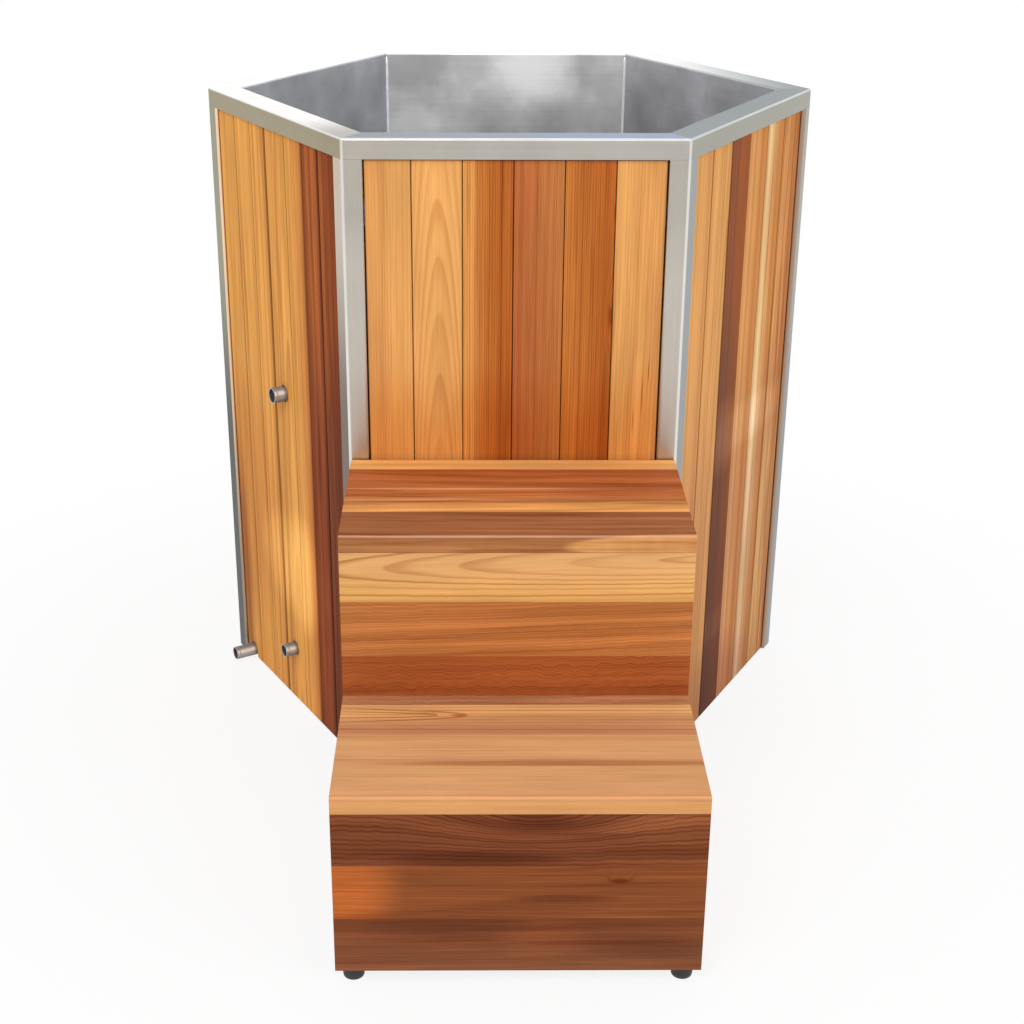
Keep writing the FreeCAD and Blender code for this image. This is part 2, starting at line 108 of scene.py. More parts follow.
class Graph:
    """Adds nodes to a shader tree, called g below; a value is a socket, a number or a tuple."""

    def __init__(self, tree):
        self.tree = tree
        self.tree.nodes.clear()

    def add(self, kind, **settings):
        node = self.tree.nodes.new(kind)
        for key, value in settings.items():
            setattr(node, key, value)
        return node

    def put(self, socket, value):
        if isinstance(value, bpy.types.NodeSocket):
            self.tree.links.new(value, socket)
        else:
            socket.default_value = value

    def fill(self, node, *values):
        """Puts values on the first sockets of a node; gives its first output."""
        for socket, value in zip(node.inputs, values):
            self.put(socket, value)
        return node.outputs[0]

    def math(self, operation, *values):
        return self.fill(self.add("ShaderNodeMath", operation=operation), *values)

    def plus(self, *values):
        total = values[0]
        for value in values[1:]:
            total = self.math("ADD", total, value)
        return total

    def times(self, *values):
        total = values[0]
        for value in values[1:]:
            total = self.math("MULTIPLY", total, value)
        return total

    def scaled(self, value, factor, offset=0.0):
        return self.math("MULTIPLY_ADD", value, factor, offset)

    def apart(self, value, place, size=1.0):
        """How far a value lies beyond a place, in sizes."""
        return self.scaled(value, 1 / size, -place / size)

    def squares(self, *values):
        """Sum of the squares of the values."""
        return self.plus(*[self.times(value, value) for value in values])

    def vector(self, operation, *values):
        return self.fill(self.add("ShaderNodeVectorMath", operation=operation), *values)

    def combine(self, *values):
        return self.fill(self.add("ShaderNodeCombineXYZ"), *values)

    def separate(self, vector):
        node = self.add("ShaderNodeSeparateXYZ")
        self.fill(node, vector)
        return list(node.outputs)

    def noise(self, vector, stretch, detail=2.0, roughness=0.5):
        """Noise from 0 to 1; stretch is how many cells a metre has along each axis."""
        node = self.add("ShaderNodeTexNoise", noise_dimensions="3D")
        self.put(node.inputs["Vector"], self.vector("MULTIPLY", vector, stretch))
        node.inputs["Scale"].default_value = 1.0
        node.inputs["Detail"].default_value = detail
        node.inputs["Roughness"].default_value = roughness
        return node.outputs["Fac"]

    def noise_along(self, value, scale, offset):
        node = self.add("ShaderNodeTexNoise", noise_dimensions="1D")
        self.put(node.inputs["W"], self.scaled(value, scale, offset))
        node.inputs["Scale"].default_value = 1.0
        node.inputs["Detail"].default_value = 1.0
        return node.outputs["Fac"]

    def span(self, value, low, high, to_low=0.0, to_high=1.0):
        """Smooth step from to_low, where the value is low, to to_high, where it is high."""
        node = self.add("ShaderNodeMapRange", interpolation_type="SMOOTHSTEP")
        return self.fill(node, value, low, high, to_low, to_high)

    def pick(self, index, rows):
        """Row of four numbers for a whole-number index, as a colour and an alpha."""
        node = self.add("ShaderNodeValToRGB")
        ramp = node.color_ramp
        ramp.interpolation = "CONSTANT"
        while len(ramp.elements) < len(rows):
            ramp.elements.new(1.0)
        for number, row in enumerate(rows):
            ramp.elements[number].position = number / len(rows)
            ramp.elements[number].color = row
        share = 1.0 / len(rows)
        self.put(node.inputs[0], self.scaled(index, share, share / 2))
        return node.outputs["Color"], node.outputs["Alpha"]

    def mix(self, factor, first, second, blend="MIX"):
        node = self.add("ShaderNodeMix", data_type="RGBA", blend_type=blend)
        for key, value in (("Factor", factor), ("A", first), ("B", second)):
            self.put(node.inputs[key], value)
        return node.outputs["Result"]

    def lift(self, colour, factor):
        """Colour times a number that varies over the surface."""
        node = self.add("ShaderNodeVectorMath", operation="SCALE")
        self.put(node.inputs[0], colour)
        self.put(node.inputs["Scale"], factor)
        return node.outputs["Vector"]

    def blend(self, factor, first, second):
        """Mix of two shaders."""
        return self.fill(self.add("ShaderNodeMixShader"), factor, first, second)

    def seen_directly(self):
        """1 for rays from the camera and for those that metal or glass sends on."""
        path = self.add("ShaderNodeLightPath").outputs
        seen = self.math("MAXIMUM", path["Is Camera Ray"], path["Is Glossy Ray"])
        return self.math("MAXIMUM", seen, path["Is Transmission Ray"])


class Surface(Graph):
    """Shader tree of one new material."""

    def __init__(self, name):
        self.material = bpy.data.materials.new(name)
        self.material.use_nodes = True
        super().__init__(self.material.node_tree)
        self.shader = self.add("ShaderNodeBsdfPrincipled")
        self.out = self.add("ShaderNodeOutputMaterial")
        self.put(self.out.inputs["Surface"], self.shader.outputs["BSDF"])
        self.place = self.add("ShaderNodeTexCoord").outputs["Object"]

    def place_on(self, axis):
        """How far along an axis the shaded point lies."""
        node = self.add("ShaderNodeVectorMath", operation="DOT_PRODUCT")
        self.fill(node, self.place, axis)
        return node.outputs["Value"]

    def finish(self, colour, roughness, relief, strength, depth):
        """Material with this colour, roughness and relief, which is so many metres deep."""
        self.put(self.shader.inputs["Base Color"], colour)
        self.put(self.shader.inputs["Roughness"], roughness)
        bump = self.add("ShaderNodeBump")
        self.put(bump.inputs["Height"], relief)
        bump.inputs["Strength"].default_value = strength
        bump.inputs["Distance"].default_value = depth
        self.put(self.shader.inputs["Normal"], bump.outputs["Normal"])
        return self.material


# Cedar as planed and oiled, from sapwood to the darkest heartwood
CEDAR_TONES = {
    "cream": (0.97, 0.66, 0.31),
    "straw": (0.94, 0.47, 0.15),
    "wheat": (0.84, 0.46, 0.18),
    "flax": (0.76, 0.41, 0.13),
    "honey": (0.85, 0.42, 0.13),
    "gold": (0.85, 0.40, 0.09),
    "amber": (0.79, 0.36, 0.08),
    "ginger": (0.75, 0.35, 0.11),
    "fawn": (0.71, 0.37, 0.16),
    "tan": (0.63, 0.31, 0.14),
    "dun": (0.56, 0.25, 0.12),
    "toffee": (0.67, 0.26, 0.06),
    "copper": (0.64, 0.22, 0.045),
    "caramel": (0.57, 0.21, 0.06),
    "sienna": (0.51, 0.155, 0.047),
    "cinnamon": (0.50, 0.14, 0.025),
    "russet": (0.44, 0.12, 0.033),
    "chestnut": (0.38, 0.10, 0.018),
    "walnut": (0.39, 0.148, 0.06),
    "maroon": (0.28, 0.057, 0.0065),
    "umber": (0.27, 0.08, 0.025),
    "bark": (0.27, 0.095, 0.042),
    "plum": (0.235, 0.07, 0.026),
}
# Late wood multiplies a board's tone by this
LATE_WOOD = (0.58, 0.37, 0.25)
WOOD_GLOSS = 0.06
# Noise cells per metre across the boards, into them and along them
WANDER = (7, 7, 1.4)
CURL = (14, 14, 48)
SWAY = (9, 9, 3.5)
FIBRE = (480, 480, 9)
STREAK_ACROSS = 160.0
STREAK_ALONG = 2.6
BROAD = (13, 13, 0.9)
CLOUD = (20, 20, 5)
# How many metres boards can lie apart in the noise, so that no two look alike
BOARD_SHIFT = (3, 3, 11)


class Grain:
    """Growth rings as a board cuts them. pith, deep: how many mm the middle of the log lies across from the
    middle of the board and behind it. lean: how far it leans along the board. ring: width of one year in mm.
    lines, bands, streaks: how strong single rings, groups of rings and loose streaks show. wave, ripple: how
    far the grain wanders and curls in mm. skew: how far it leaves the board's own direction. fine: 1 for
    narrow streaks, less for wider ones. The rows hold these as small positive numbers, as pick() needs."""

    def __init__(
        self, pith, deep, lean, ring, lines, bands=0.4, wave=6, ripple=0.5, skew=0.0, streaks=0.4, fine=0.8
    ):
        self.line_row = lines
        self.ring_row = ring / 10
        self.log_row = (pith / 1000 + 0.5, deep / 100, lean * 5 + 0.5, bands)
        self.wander_row = (wave / 20, ripple / 10)
        self.lay_row = (skew + 0.5, streaks, fine, 1.0)


# Swelling of the rings, by so many mm at its middle, with a dark spot there
Knot = namedtuple("Knot", "board across along reach_across reach_along swell dark")
# Pointed loop of grain that opens against its heading; inside it the rings jump by so many mm
Arch = namedtuple("Arch", "board across along heading spread jump")
# Ellipse of another colour on one board, or on all for None; places are (across, along, depth or none)
Patch = namedtuple("Patch", "board middle reach soft colour amount")
# Ellipse where the boards' own colour is multiplied by a factor
Tint = namedtuple("Tint", "board middle reach factor soft", defaults=[1.0])


class CedarFace(Surface):
    """Cedar boards side by side along the first of three axes, with the second into them and the third along
    their grain. Each board is (tone at its low edge, tone at its high edge, grain)."""

    def __init__(self, name, axes, edges, boards, seed):
        super().__init__(name)
        self.seed = seed
        self.across, self.depth, self.along = [self.place_on(axis) for axis in axes]
        passed = [self.math("GREATER_THAN", self.across, edge) for edge in edges[1:-1]]
        self.index = self.plus(*passed) if passed else 0.0
        grains = [grain for low, high, grain in boards]
        lows = [(*CEDAR_TONES[low], grain.line_row) for low, high, grain in boards]
        highs = [(*CEDAR_TONES[high], grain.ring_row) for low, high, grain in boards]
        self.low_tone, self.line_share = self.pick(self.index, lows)
        self.high_tone, self.ring = self.pick(self.index, highs)
        self.read_grains(edges, grains)
        chance = self.add("ShaderNodeTexWhiteNoise", noise_dimensions="1D")
        self.put(chance.inputs["W"], self.scaled(self.index, 1.0, seed + 0.37))
        here = self.combine(self.lane, self.depth, self.along)
        self.spot = self.vector("MULTIPLY_ADD", chance.outputs["Color"], BOARD_SHIFT, here)
        self.wander = self.scaled(self.noise(self.spot, WANDER), 2.0, -1.0)
        self.dark = 0.0

    def read_grains(self, edges, grains):
        """Takes each board's grain back out of its rows, in metres, and finds the place on the board."""
        log, self.bands = self.pick(self.index, [grain.log_row for grain in grains])
        places = []
        for low, high, grain in zip(edges[:-1], edges[1:], grains):
            places.append(((low + high) / 2 - edges[0], high - low, *grain.wander_row))
        place, self.ripple = self.pick(self.index, places)
        lay = self.pick(self.index, [grain.lay_row for grain in grains])[0]
        skew, self.streaks, self.fine = self.separate(lay)
        unpacked = self.vector("MULTIPLY_ADD", log, (1, 0.1, 0.2), (-0.5, 0, -0.1))
        self.pith, self.deep, self.lean = self.separate(unpacked)
        middle, self.width, self.wave = self.separate(place)
        self.from_middle = self.math("SUBTRACT", self.across, self.scaled(middle, 1.0, edges[0]))
        slant = self.times(self.apart(skew, 0.5), self.along)
        self.lane = self.math("SUBTRACT", self.from_middle, slant)

    def only(self, board, share):
        """The share on one board alone, or on all of them when no board is named."""
        if board is None:
            return share
        return self.times(share, self.math("COMPARE", self.index, float(board), 0.4))

    def region(self, middle, reach, soft):
        """1 inside an ellipse with a wandering edge, 0 outside it; no reach, or 0, leaves an axis free."""
        square = self.scaled(self.wander, 0.7)
        for value, where, size in zip((self.across, self.along, self.depth), middle, reach):
            if size:
                square = self.plus(square, self.squares(self.apart(value, where, size)))
        return self.span(square, 1.2, 1.2 - 1.15 * soft)

    def find_log(self):
        """Distance from the middle of the log."""
        curl = self.scaled(self.noise(self.spot, CURL, 1.0), 2.0, -1.0)
        leaning = self.times(self.lean, self.along)
        inward = self.plus(self.deep, leaning, self.scaled(self.times(self.wander, self.wave), 0.02))
        curled = self.scaled(self.times(curl, self.ripple), 0.01)
        sideways = self.plus(self.lane, self.scaled(self.pith, -1.0), curled)
        square = self.math("MULTIPLY_ADD", sideways, sideways, self.times(inward, inward))
        self.radius = self.math("SQRT", square)

    def add_knot(self, knot):
        near_across = self.apart(self.across, knot.across, knot.reach_across)
        near_along = self.apart(self.along, knot.along, knot.reach_along)
        square = self.squares(near_across, near_along)
        bell = self.only(knot.board, self.math("EXPONENT", self.scaled(square, -1.0)))
        self.radius = self.plus(self.radius, self.scaled(bell, knot.swell / 1000))
        self.dark = self.plus(self.scaled(self.math("POWER", bell, 4.0), knot.dark), self.dark)

    def add_arch(self, arch):
        behind_tip = self.scaled(self.along, -arch.heading, arch.heading * arch.along)
        inside = self.math("MAXIMUM", behind_tip, 0.0)
        flank = self.math("SQRT", self.scaled(inside, arch.spread))
        aside = self.math("ABSOLUTE", self.apart(self.across, arch.across))
        within = self.math("SUBTRACT", flank, aside)
        jump = self.span(within, -0.004, 0.005, 0.0, arch.jump / 1000)
        self.radius = self.plus(self.radius, self.only(arch.board, jump))
        line = self.span(self.math("ABSOLUTE", within), 0.0026, 0.0008)
        line = self.times(line, self.span(inside, 0.30, 0.02, 0.0, 0.8), self.span(inside, 0.0, 0.004))
        self.dark = self.plus(self.only(arch.board, line), self.dark)

    def draw_rings(self):
        """Late wood of each year, and groups of years."""
        phase = self.math("DIVIDE", self.radius, self.scaled(self.ring, 0.01))
        phase = self.plus(phase, self.scaled(self.noise_along(phase, 0.23, self.seed), 1.4))
        turn = self.math("FRACT", phase)
        late = self.times(self.span(turn, self.scaled(self.ring, 0.6), 0.85), self.span(turn, 1.0, 0.9))
        strength = self.span(self.noise_along(phase, 0.61, self.seed + 17), 0.25, 0.75, 0.3, 1.0)
        self.lines = self.times(late, strength, self.line_share)
        self.band = self.noise_along(phase, 0.27, self.seed + 41)

    def draw_fibres(self):
        """Fibres, streaks and slow changes of tone, all along the grain."""
        sway = self.noise(self.spot, SWAY, 1.0)
        swayed = self.vector("ADD", self.spot, self.combine(self.scaled(sway, 0.016, -0.008), 0.0, 0.0))
        self.fibre = self.noise(swayed, FIBRE, 2.5, 0.7)
        streak_across = self.scaled(self.fine, STREAK_ACROSS)
        narrow = self.combine(streak_across, streak_across, STREAK_ALONG)
        self.streak = self.noise(swayed, narrow, 2.0, 0.6)
        self.wisp = self.noise(swayed, self.vector("MULTIPLY", narrow, (2.2, 2.2, 2.0)), 2.0, 0.6)
        self.broad = self.noise(self.spot, BROAD)
        self.cloud = self.noise(self.spot, CLOUD)

    def base_colour(self, patches, tints):
        share = self.math("DIVIDE", self.from_middle, self.width)
        share = self.plus(share, self.scaled(self.wander, 0.3, 0.5))
        base = self.mix(self.span(share, 0.15, 0.85), self.low_tone, self.high_tone)
        for board, middle, reach, soft, colour, amount in patches:
            inside = self.only(board, self.region(middle, reach, soft))
            base = self.mix(self.scaled(inside, amount), base, solid(colour))
        for board, middle, reach, factor, soft in tints:
            inside = self.only(board, self.region(middle, reach, soft))
            tinted = self.mix(1.0, base, solid(factor), "MULTIPLY")
            base = self.mix(inside, base, tinted)
        return base

    def inked(self, base):
        """Base colour with its rings, streaks, bands and knots drawn in late wood."""
        banded = self.times(self.span(self.band, 0.50, 0.28), self.span(self.cloud, 0.3, 0.6, 0.2, 0.55))
        ink = self.plus(
            self.scaled(self.lines, 0.66),
            self.times(self.span(self.streak, 0.50, 0.74), self.streaks),
            self.times(banded, self.bands),
            self.dark,
        )
        late_colour = self.mix(1.0, base, solid(LATE_WOOD), "MULTIPLY")
        return self.mix(self.math("MINIMUM", ink, 0.95), base, late_colour)

    def tone(self):
        """Light and dark along the grain, about 1."""
        return self.times(
            self.scaled(self.times(self.bands, self.apart(self.band, 0.5)), 0.8, 1.0),
            self.scaled(self.times(self.streaks, self.apart(self.wisp, 0.5)), 1.0, 1.0),
            self.scaled(self.times(self.streaks, self.span(self.streak, 0.48, 0.27)), 0.4, 1.0),
            self.scaled(self.broad, 0.44, 0.78),
            self.scaled(self.cloud, 0.30, 0.85),
            self.scaled(self.fibre, 0.40, 0.80),
        )


def cedar(
    name, axes, edges, boards, knots=(), arches=(), patches=(), tints=(), nose=None, joint=False, seed=0.0
):
    """Material for boards of cedar, as CedarFace takes them. nose is the place, across and deep, of a front
    edge that is worn and painted lighter as its highlight; joint darkens and dulls the edges of tongue and
    groove boards."""
    g = CedarFace(name, axes, edges, boards, seed)
    g.find_log()
    for knot in knots:
        g.add_knot(knot)
    for arch in arches:
        g.add_arch(arch)
    g.draw_rings()
    g.draw_fibres()
    colour = g.inked(g.base_colour(patches, tints))
    tone = g.tone()
    rough = g.plus(g.scaled(g.fibre, 0.18, 0.46), g.scaled(g.lines, -0.08))
    if joint:
        to_edge = g.math("SUBTRACT", g.scaled(g.width, 0.5), g.math("ABSOLUTE", g.from_middle))
        tone = g.times(tone, g.span(to_edge, 0.0009, 0.0018, 0.62, 1.0))
        rough = g.plus(rough, g.span(to_edge, 0.0050, 0.0012, 0.0, 0.15))
    # Front edge lighter: wear, and a painted highlight
    if nose:
        from_nose = g.math("SQRT", g.squares(g.apart(g.across, nose[0]), g.apart(g.depth, nose[1])))
        wear_and_highlight = g.times(g.span(from_nose, 0.006, 0.0015), g.scaled(g.streak, 0.8, 0.2))
        tone = g.times(tone, g.scaled(wear_and_highlight, 0.55, 1.0))
        rough = g.plus(rough, g.scaled(wear_and_highlight, -0.10))
    g.shader.inputs["Specular IOR Level"].default_value = WOOD_GLOSS
    relief = g.plus(g.scaled(g.lines, -0.4), g.scaled(g.fibre, 0.6), g.scaled(g.streak, 0.3))
    return g.finish(g.lift(colour, tone), rough, relief, strength=0.30, depth=0.0006)


# Steel: noise cells per metre, along and across the brushing
BRUSH = (6, 900, 900)
DRAG = (2.2, 210, 210)
MOTTLE = (11, 11, 11)
BLOTCH = (2.6, 2.6, 2.6)
COOL = (0.97, 1.0, 1.04)
# Ground edges, painted lighter as their highlight
GROUND_EDGE_HIGHLIGHT = (0.93, 0.92, 0.90)


def steel(name, along, tone, rough, cloud=0.10, edge=None, zones=(), metal=1.0):
    """Satin stainless steel, brushed along one direction and faintly clouded. edge gives the ground corners,
    painted lighter as their highlight; zones are (where, tone) or (where, tone, roughness) for parts of the
    piece with another finish, and for painted light and shade."""
    g = Surface(name)
    axis = Vector(along).normalized()
    side = axis.orthogonal().normalized()
    third = axis.cross(side)
    turned = g.combine(g.place_on(tuple(axis)), g.place_on(tuple(side)), g.place_on(tuple(third)))
    brush = g.noise(turned, BRUSH, 3.0, 0.65)
    drag = g.noise(turned, DRAG, 2.0, 0.6)
    mottle = g.noise(g.place, MOTTLE, 4.0, 0.6)
    blotch = g.noise(g.place, BLOTCH)
    shade = g.plus(
        g.scaled(mottle, 1.6 * cloud, 1.0 - 0.8 * cloud),
        g.scaled(blotch, 1.2 * cloud, -0.6 * cloud),
        g.scaled(drag, 0.12, -0.06),
        g.scaled(brush, 0.12, -0.06),
    )
    roughness = g.plus(g.scaled(mottle, 0.16, rough - 0.08), g.scaled(brush, 0.10, -0.05))
    cool_tone = [value * factor for value, factor in zip(tone, COOL)]
    tint = g.mix(g.span(blotch, 0.35, 0.65), solid(tone), solid(cool_tone))
    for where, zone_tone, *zone_rough in zones:
        share = where(g)
        tint = g.mix(share, tint, solid(zone_tone))
        if zone_rough:
            roughness = g.plus(roughness, g.scaled(share, zone_rough[0] - rough))
    # Ground edges painted lighter as a highlight
    if edge:
        wear_and_highlight = edge(g)
        tint = g.mix(g.scaled(wear_and_highlight, 0.6), tint, solid(GROUND_EDGE_HIGHLIGHT))
        roughness = g.plus(roughness, g.scaled(wear_and_highlight, -0.06))
    g.shader.inputs["Metallic"].default_value = metal
    relief = g.plus(brush, g.scaled(drag, 0.7))
    return g.finish(g.lift(tint, shade), roughness, relief, strength=0.10, depth=0.0003)


# Cladding: boards from left to right as seen from outside
FRONT = [
    ("ginger", "honey", Grain(160, 60, 0.006, 4.5, 0.4, bands=0.15, skew=0.006, streaks=0.12)),
    ("honey", "honey", Grain(2, 5, 0.045, 4.2, 0.7, bands=0.15, wave=3, streaks=0.1)),
    ("copper", "cinnamon", Grain(310, 20, 0.010, 4.0, 1.0, streaks=0.3)),
    ("sienna", "caramel", Grain(180, 40, 0.004, 2.6, 0.7, bands=0.3, wave=4, ripple=1, streaks=0.25)),
    ("copper", "cinnamon", Grain(-300, 25, -0.006, 4.0, 1.0, bands=0.3, streaks=0.35)),
    ("honey", "ginger", Grain(-140, 55, 0.005, 5.0, 0.5, bands=0.3, skew=0.012, streaks=0.3)),
]
FRONT_LEFT = [
    ("gold", "gold", Grain(150, 60, 0.006, 5.0, 0.5, bands=0.5, streaks=0.3, fine=0.6)),
    ("gold", "gold", Grain(-140, 55, 0.005, 5.0, 0.6, bands=0.5, streaks=0.35, fine=0.6)),
    ("gold", "amber", Grain(260, 20, 0.006, 5.2, 0.8, bands=0.5, streaks=0.35, fine=0.6)),
    ("amber", "gold", Grain(20, 30, 0.020, 6.0, 0.7, bands=0.5, streaks=0.35, fine=0.6)),
    ("gold", "toffee", Grain(-140, 55, 0.005, 5.0, 0.6, bands=0.5, streaks=0.3, fine=0.6)),
    ("chestnut", "chestnut", Grain(-300, 25, -0.004, 6.0, 1.0, bands=0.8, streaks=0.8, fine=0.5)),
    ("chestnut", "maroon", Grain(310, 20, 0.004, 6.0, 1.0, bands=0.8, streaks=0.8, fine=0.5)),
]
FRONT_RIGHT = [
    ("honey", "ginger", Grain(160, 60, 0.006, 4.5, 0.4, bands=0.3, streaks=0.15, fine=0.5)),
    ("honey", "honey", Grain(40, 40, 0.012, 4.0, 0.6, streaks=0.25, fine=0.5)),
    ("umber", "chestnut", Grain(-300, 25, -0.004, 2.9, 0.5, bands=0.3, streaks=0.15, fine=0.5)),
    ("ginger", "toffee", Grain(-140, 55, 0.005, 5.0, 0.4, streaks=0.15, fine=0.5)),
    ("cream", "toffee", Grain(300, 20, 0.006, 5.0, 0.6, bands=0.6, fine=0.5)),
    ("ginger", "caramel", Grain(-60, 24, -0.012, 6.0, 0.9, bands=0.8, streaks=0.8, fine=0.5)),
]
BACK_RIGHT = [FRONT[2], FRONT_LEFT[3], FRONT_RIGHT[3], FRONT[3], FRONT_LEFT[1], FRONT_LEFT[5]]
BACK = [FRONT_LEFT[0], FRONT[4], FRONT_RIGHT[1], FRONT_LEFT[4], FRONT[2], FRONT[5]]
BACK_LEFT = [FRONT_RIGHT[5], FRONT_LEFT[2], FRONT[1], FRONT_LEFT[6], FRONT[0], FRONT[3]]
CLADDING = {
    "front": FRONT,
    "front_right": FRONT_RIGHT,
    "back_right": BACK_RIGHT,
    "back": BACK,
    "back_left": BACK_LEFT,
    "front_left": FRONT_LEFT,
}
FRONT_KNOTS = [
    Knot(4, 0.156, 0.840, 0.010, 0.040, 22, 0.9),
    Knot(4, 0.158, 1.010, 0.004, 0.030, 6, 0.7),
    Knot(5, 0.2115, 0.705, 0.0026, 0.055, 0, 1.0),
    Knot(5, 0.1980, 0.660, 0.0022, 0.040, 0, 0.8),
    Knot(5, 0.2210, 0.745, 0.0020, 0.035, 0, 0.8),
]
# Sunlit and shaded places, and joints that stand open
CLADDING_TINTS = {
    "front": [
        Tint(None, (0, 0.56), (0, 0.18), (0.97, 0.84, 0.68), 0.9),
        Tint(2, (-0.0855, 0), (0.028, 0), (1.30, 1.70, 2.20), 0.9),
    ],
    "front_left": [
        Tint(None, (-0.19, 0.34), (0.18, 0.30), (0.86, 0.76, 0.76), 0.9),
        Tint(None, (0.005, 0.285), (0.150, 0.125), (1.42, 1.60, 1.80)),
        Tint(0, (-0.236, 0.10), (0.040, 0.42), (0.60, 0.46, 0.52)),
        Tint(4, (0.11, 0.30), (0.024, 0.40), (0.88, 0.76, 0.70), 0.9),
        Tint(2, (-0.0395, 0), (0.0042, 0), (0.50, 0.42, 0.42), 0.6),
        Tint(3, (-0.0395, 0), (0.0026, 0), (0.50, 0.42, 0.42), 0.6),
        Tint(5, (0.1722, 0), (0.0042, 0), (0.36, 0.30, 0.34), 0.6),
        Tint(4, (0.1080, 0), (0.0032, 0), (0.62, 0.52, 0.50), 0.6),
        Tint(5, (0.15, 0.20), (0, 0.62), (0.72, 0.56, 0.48)),
        Tint(6, (0.22, 0.20), (0, 0.62), (0.58, 0.52, 0.52)),
    ],
    "front_right": [
        Tint(None, (0, 0.15), (0, 0.55), (0.86, 0.84, 0.98), 0.9),
        Tint(2, (0, 0.20), (0, 0.60), (0.80, 0.92, 1.10), 0.9),
        Tint(0, (-0.1651, 0), (0.0036, 0), (0.48, 0.42, 0.42), 0.6),
        Tint(1, (-0.0848, 0), (0.0036, 0), (0.48, 0.42, 0.42), 0.6),
        Tint(2, (0, 0.56), (0, 0.07), (1.40, 1.60, 1.75)),
        Tint(2, (0, 0.18), (0, 0.035), (1.20, 1.30, 1.45)),
        Tint(2, (0, 0.05), (0, 0.32), (0.76, 0.72, 0.90), 0.9),
        Tint(None, (0.08, 0.555), (0.20, 0.050), (1.16, 1.28, 1.50)),
        Tint(None, (-0.10, 0.0), (0.30, 0.16), (0.76, 0.68, 0.74)),
        Tint(3, (0, 0.15), (0, 0.40), (1.06, 1.10, 1.25)),
        Tint(5, (0, 0.15), (0, 0.40), (1.12, 1.40, 1.50)),
    ],
}


def board_edges(widths):
    """Middles of the joints between the boards of a side, and the outer edges of the first and last."""
    stretch = (2 * BOARD_HALF - (len(widths) - 1) * BOARD_JOINT) / sum(widths)
    edges = [-BOARD_HALF]
    left = -BOARD_HALF
    for width in widths[:-1]:
        left += width * stretch + BOARD_JOINT
        edges.append(left - BOARD_JOINT / 2)
    return edges + [BOARD_HALF]


for number, (side, boards) in enumerate(CLADDING.items()):
    inward = tuple(-value for value in outward_of(side))
    material = cedar(
        f"cedar_{side}",
        (across_of(side), inward, UP),
        board_edges(PIPE_SIDE_WIDTHS if side == "front_left" else BOARD_WIDTHS),
        boards,
        knots=FRONT_KNOTS if side == "front" else [],
        tints=CLADDING_TINTS.get(side, []),
        joint=True,
        seed=31.0 * number,
    )
    dress(material, f"cladding_{side}")

# Step unit: its boards run across it, and along its sides. Rows from the lowest, treads from the front
UPPER_RISER_BOARDS = [
    ("russet", "russet", Grain(60, 9, 0.030, 4.2, 0.9, bands=0.2, wave=5, ripple=10, streaks=0.3)),
    ("caramel", "caramel", Grain(60, 16, -0.016, 4.2, 0.7, ripple=3, skew=0.045)),
    (
        "flax", "wheat",
        Grain(22, 21.3, -0.063, 8.0, 1.1, bands=0.1, wave=2, ripple=1, skew=0.031, streaks=0.1),
    ),
]
LOWER_RISER_BOARDS = [
    ("bark", "plum", Grain(60, 30, 0.012, 4.4, 0.25, bands=0.3, ripple=2, streaks=0.5, fine=0.6)),
    ("umber", "umber", Grain(-50, 20, 0.020, 4.2, 0.45, bands=0.3, ripple=2, streaks=0.6, fine=0.6)),
    ("plum", "plum", Grain(50, 4, 0.0, 8.0, 1.5, bands=0.6, wave=3, ripple=3, fine=0.7)),
]
UPPER_TREAD_BOARDS = [
    ("walnut", "walnut", Grain(60, 30, 0.010, 4.4, 0.8, ripple=1, streaks=0.6, fine=0.5)),
    (
        "ginger", "sienna",
        Grain(40, 16, 0.022, 5.4, 0.7, bands=0.5, ripple=1, skew=0.02, streaks=0.8, fine=0.4),
    ),
    ("sienna", "russet", Grain(-60, 24, 0.016, 5.0, 0.7, ripple=1, skew=-0.02, streaks=0.6, fine=0.4)),
    ("honey", "straw", Grain(-160, 40, 0.004, 3.6, 0.3, bands=0.2, streaks=0.15)),
]
LOWER_TREAD_BOARDS = [
    ("tan", "fawn", Grain(140, 50, 0.006, 5.0, 0.2, bands=0.15, streaks=0.12, fine=0.5)),
    ("tan", "fawn", Grain(-120, 40, 0.010, 6.0, 0.25, bands=0.2, streaks=0.2, fine=0.4)),
    ("dun", "wheat", Grain(-60, 20, 0.008, 9.0, 1.0, bands=0.2, wave=5, streaks=0.25, fine=0.5)),
    ("dun", "dun", Grain(20, 10, 0.040, 4.0, 1.0, bands=0.3, ripple=8, streaks=0.5, fine=0.5)),
]
RISER_AXES = (UP, REARWARD, RIGHT)
TREAD_AXES = (REARWARD, UP, RIGHT)
UPPER_NOSE = UPPER_TREAD[0]
LOWER_NOSE = LOWER_TREAD[0]
LOWER_RISER_KNOTS = [
    Knot(2, 0.292, 0.025, 0.046, 0.130, -62, 0.5),
    Knot(1, 0.180, 0.145, 0.007, 0.024, 12, 1.4),
]
LOWER_RISER_SUN = Patch(1, (0, -0.300), (0, 0.130), 1.0, (0.60, 0.160, 0.034), 0.85)
LOWER_RISER_TINTS = [
    Tint(2, (0.216, -0.06), (0.014, 0.14), (0.66, 0.58, 0.56)),
    Tint(2, (0.287, 0.03), (0.018, 0.06), (0.76, 0.72, 0.72)),
    Tint(2, (0.270, 0.22), (0.030, 0.13), (1.30, 1.40, 1.40)),
    Tint(1, (0.150, 0.065), (0.007, 0.095), (0.60, 0.55, 0.60)),
    Tint(1, (0.130, 0.20), (0.022, 0.14), (1.18, 1.22, 1.28)),
    Tint(0, (0.075, 0.035), (0.050, 0.080), (1.22, 1.18, 1.12)),
    Tint(0, (0.060, 0.20), (0.024, 0.12), (0.76, 0.74, 0.78)),
    Tint(0, (0.100, -0.10), (0.024, 0.14), (0.84, 0.82, 0.86)),
]
